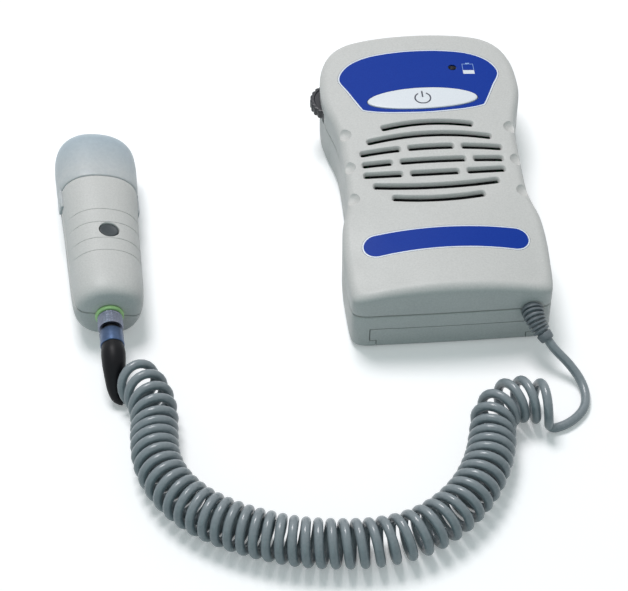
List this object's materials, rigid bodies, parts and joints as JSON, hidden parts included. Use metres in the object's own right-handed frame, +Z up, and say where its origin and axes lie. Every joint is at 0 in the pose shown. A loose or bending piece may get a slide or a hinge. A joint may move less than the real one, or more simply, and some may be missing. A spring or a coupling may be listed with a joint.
{
  "type": "vascular doppler",
  "caption": "Handheld vascular doppler: waisted handset with arched speaker grille and blue keypad, curly cord with round plug, and a capped pencil probe lying beside it.",
  "frame": {"origin": "centre of the handset on the surface that it lies on", "axes": "+Z up from the flat back; +Y along the handset, away from the cord, towards the keypad end; +X to the right with the keypad up, the probe lying at -X"},
  "size_m": [0.1945, 0.2493, 0.0314],
  "materials": {
    "shell_plastic": "light warm grey moulded casing with a fine texture",
    "blue_panel": "deep blue printed film with a satin gloss",
    "key_plastic": "pale grey key",
    "black_plastic": "black moulded plastic",
    "boot_rubber": "soft black rubber",
    "cord_vinyl": "mid grey smooth cord jacket, slightly glossy",
    "plug_metal": "turned and knurled nickel-plated metal",
    "screw_steel": "plated steel",
    "green_plastic": "bright green ring",
    "board_green": "circuit board",
    "cap_plastic": "bluish grey frosted cap",
    "speaker_paper": "black treated paper and cloth",
    "lamp_amber": "amber lens",
    "crystal_ceramic": "pale ceramic",
    "lens_resin": "grey resin face",
    "battery_jacket": "plain dark printed jacket"
  },
  "bodies": {
    "handset": {"top_shell": "shell_plastic", "bottom_shell": "shell_plastic", "keypad_overlay": "blue_panel", "badge_strip": "blue_panel", "audio_chip": "black_plastic", "battery_snap": "black_plastic", "plug_insert": "black_plastic", "plug_boot": "boot_rubber", "cord_boot": "cord_vinyl", "curly_cord": "cord_vinyl", "power_switch": "plug_metal", "volume_pot": "plug_metal", "plug_barrel": "plug_metal", "key_screw_1": "screw_steel", "key_screw_2": "screw_steel", "board_screw_1": "screw_steel", "board_screw_2": "screw_steel", "case_screw_1": "screw_steel", "case_screw_2": "screw_steel", "case_screw_3": "screw_steel", "case_screw_4": "screw_steel", "speaker_frame": "screw_steel", "speaker_magnet": "screw_steel", "transformer": "screw_steel", "key_board": "board_green", "main_board": "board_green", "speaker_screen": "speaker_paper", "speaker_cone": "speaker_paper", "low_battery_led": "lamp_amber", "battery": "battery_jacket"},
    "power_key": {"power_button": "key_plastic", "switch_plunger": "black_plastic"},
    "wheel": {"volume_wheel": "black_plastic"},
    "door": {"battery_door": "shell_plastic"},
    "sleeve": {"plug_sleeve": "plug_metal"},
    "probe": {"probe_top_shell": "shell_plastic", "probe_bottom_shell": "shell_plastic", "probe_board": "board_green", "probe_screw_1": "screw_steel", "probe_screw_2": "screw_steel", "button_switch": "plug_metal", "transducer_housing": "plug_metal", "transducer_backing": "black_plastic", "transducer_lens": "lens_resin", "crystal_sender": "crystal_ceramic", "crystal_receiver": "crystal_ceramic", "probe_socket": "black_plastic", "socket_ring": "green_plastic"},
    "cap": {"probe_cap": "cap_plastic"},
    "probe_key": {"probe_button": "black_plastic"}
  },
  "joints": [
    {"name": "power_press", "type": "slide", "parent": "handset", "child": "power_key", "axis": [0, 0, -1], "range_m": [0, 0.0006], "stiffness_N_per_m": 600},
    {"name": "volume_turn", "type": "hinge", "parent": "handset", "child": "wheel", "pos_m": [-0.0343, 0.044, 0.018], "axis": [0, 0, 1], "range_deg": [0, 280]},
    {"name": "door_slide", "type": "slide", "parent": "handset", "child": "door", "axis": [0, -1, 0], "range_m": [0, 0.024]},
    {"name": "sleeve_release", "type": "slide", "parent": "handset", "child": "sleeve", "axis": [0.0611, -0.9981, 0], "range_m": [0, 0.0015], "stiffness_N_per_m": 500},
    {"name": "probe_unplug", "type": "slide", "parent": "handset", "child": "probe", "axis": [-0.0611, 0.9981, 0], "range_m": [0, 0.03]},
    {"name": "cap_pull", "type": "slide", "parent": "probe", "child": "cap", "axis": [-0.0611, 0.9981, 0], "range_m": [0, 0.045]},
    {"name": "probe_press", "type": "slide", "parent": "probe", "child": "probe_key", "axis": [-0.2415, -0.0148, -0.9703], "range_m": [0, 0.0008], "stiffness_N_per_m": 400}
  ]
}
